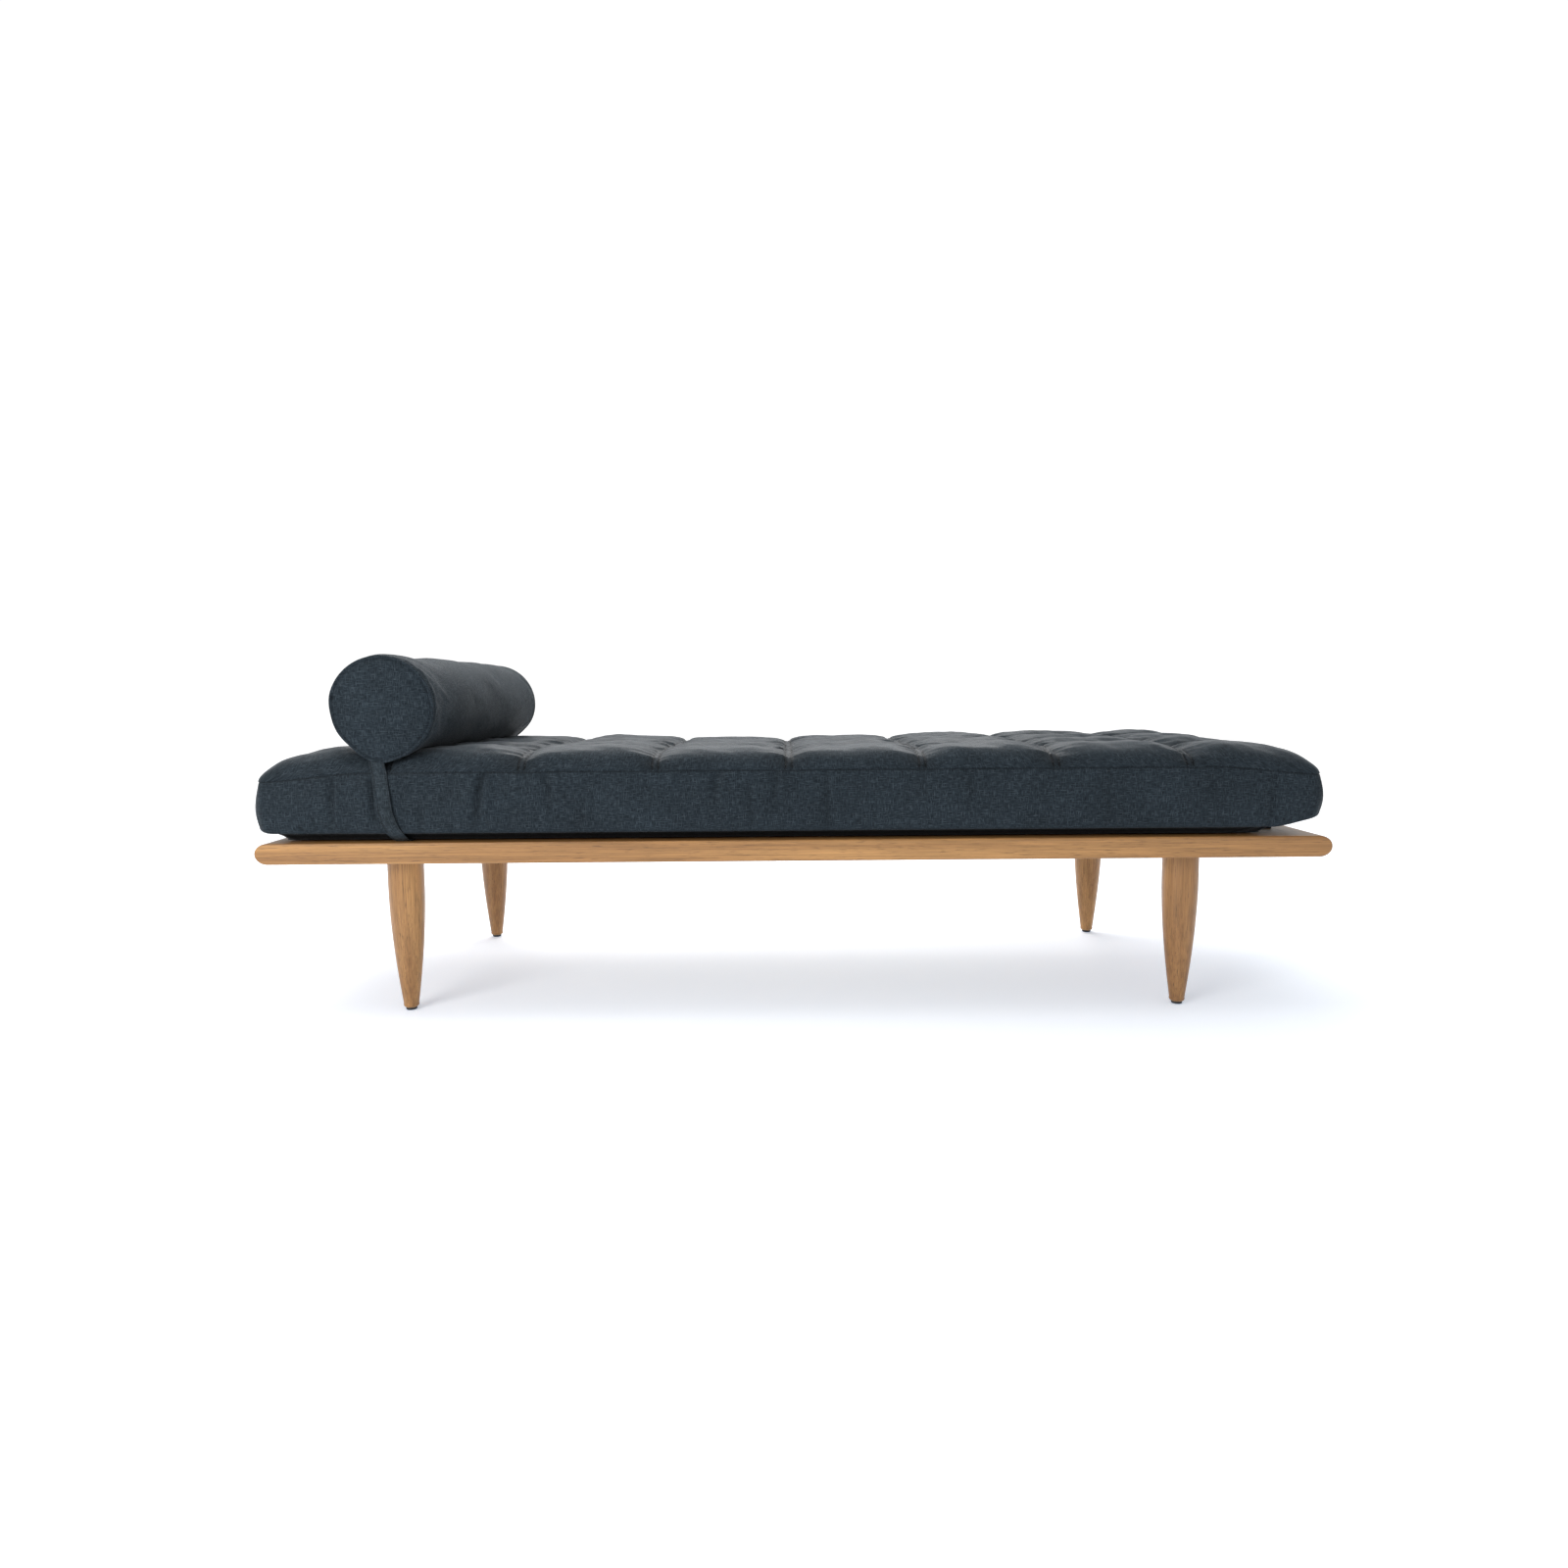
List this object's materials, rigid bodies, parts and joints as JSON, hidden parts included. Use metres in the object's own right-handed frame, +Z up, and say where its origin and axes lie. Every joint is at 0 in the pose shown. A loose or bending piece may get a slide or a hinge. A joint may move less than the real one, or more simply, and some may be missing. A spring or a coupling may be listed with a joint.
{
  "type": "daybed",
  "caption": "Daybed: slim timber frame with rounded ends on tapered turned legs, a tufted box mattress on slats, and a round bolster strapped across one end.",
  "frame": {"origin": "on the floor under the middle of the frame", "axes": "+X along the bed, from the bolster end to the foot end; +Y from the front long side to the back one; +Z up"},
  "size_m": [1.92, 0.7, 0.6575],
  "materials": {
    "frame_wood": "satin",
    "slat_wood": "matte",
    "dowel_wood": "matte",
    "upholstery": "matte",
    "base_lining": "matte",
    "foam": "matte",
    "zip_tape": "matte",
    "zip_metal": "satin",
    "grip_tape": "matte",
    "steel": "satin",
    "glide_plastic": "satin"
  },
  "bodies": {
    "frame": {"front_rail": "frame_wood", "back_rail": "frame_wood", "left_end_rail": "frame_wood", "right_end_rail": "frame_wood", "corner_dowels": "dowel_wood", "left_leg_bearer": "slat_wood", "right_leg_bearer": "slat_wood", "bearer_dowels": "dowel_wood", "front_ledger": "slat_wood", "back_ledger": "slat_wood", "ledger_screws": "steel", "slat_01": "slat_wood", "slat_02": "slat_wood", "slat_03": "slat_wood", "slat_04": "slat_wood", "slat_05": "slat_wood", "slat_06": "slat_wood", "slat_07": "slat_wood", "slat_08": "slat_wood", "slat_09": "slat_wood", "slat_10": "slat_wood", "slat_11": "slat_wood", "slat_12": "slat_wood", "slat_13": "slat_wood", "slat_screws": "steel", "leg_insert_nuts": "steel", "glide_nails": "steel", "front_left_leg": "frame_wood", "back_left_leg": "frame_wood", "front_right_leg": "frame_wood", "back_right_leg": "frame_wood", "front_left_leg_bolt": "steel", "back_left_leg_bolt": "steel", "front_right_leg_bolt": "steel", "back_right_leg_bolt": "steel", "front_left_glide": "glide_plastic", "back_left_glide": "glide_plastic", "front_right_glide": "glide_plastic", "back_right_glide": "glide_plastic", "grip_hook_strips": "grip_tape"},
    "mattress": {"mattress_core": "foam", "mattress_top_panel": "upholstery", "mattress_boxing": "upholstery", "mattress_base_panel": "base_lining", "mattress_zip_tape": "zip_tape", "grip_loop_strips": "grip_tape"},
    "mattress_zip": {"mattress_zip_slider": "zip_metal"},
    "bolster": {"bolster_core": "foam", "bolster_cover": "upholstery", "bolster_front_cap": "upholstery", "bolster_back_cap": "upholstery", "bolster_zip_tape": "zip_tape", "strap_front_half": "upholstery", "strap_back_half": "upholstery"},
    "bolster_zip": {"bolster_zip_slider": "zip_metal"}
  },
  "joints": [
    {"name": "mattress_lift", "type": "slide", "parent": "frame", "child": "mattress", "axis": [0, 0, 1], "range_m": [0, 0.35]},
    {"name": "bolster_slide", "type": "slide", "parent": "mattress", "child": "bolster", "axis": [1, 0, 0], "range_m": [0, 1.425]},
    {"name": "mattress_zip_run", "type": "slide", "parent": "mattress", "child": "mattress_zip", "axis": [0, -1, 0], "range_m": [0, 0.57]},
    {"name": "bolster_zip_run", "type": "slide", "parent": "bolster", "child": "bolster_zip", "axis": [0, -1, 0], "range_m": [0, 0.45]}
  ]
}
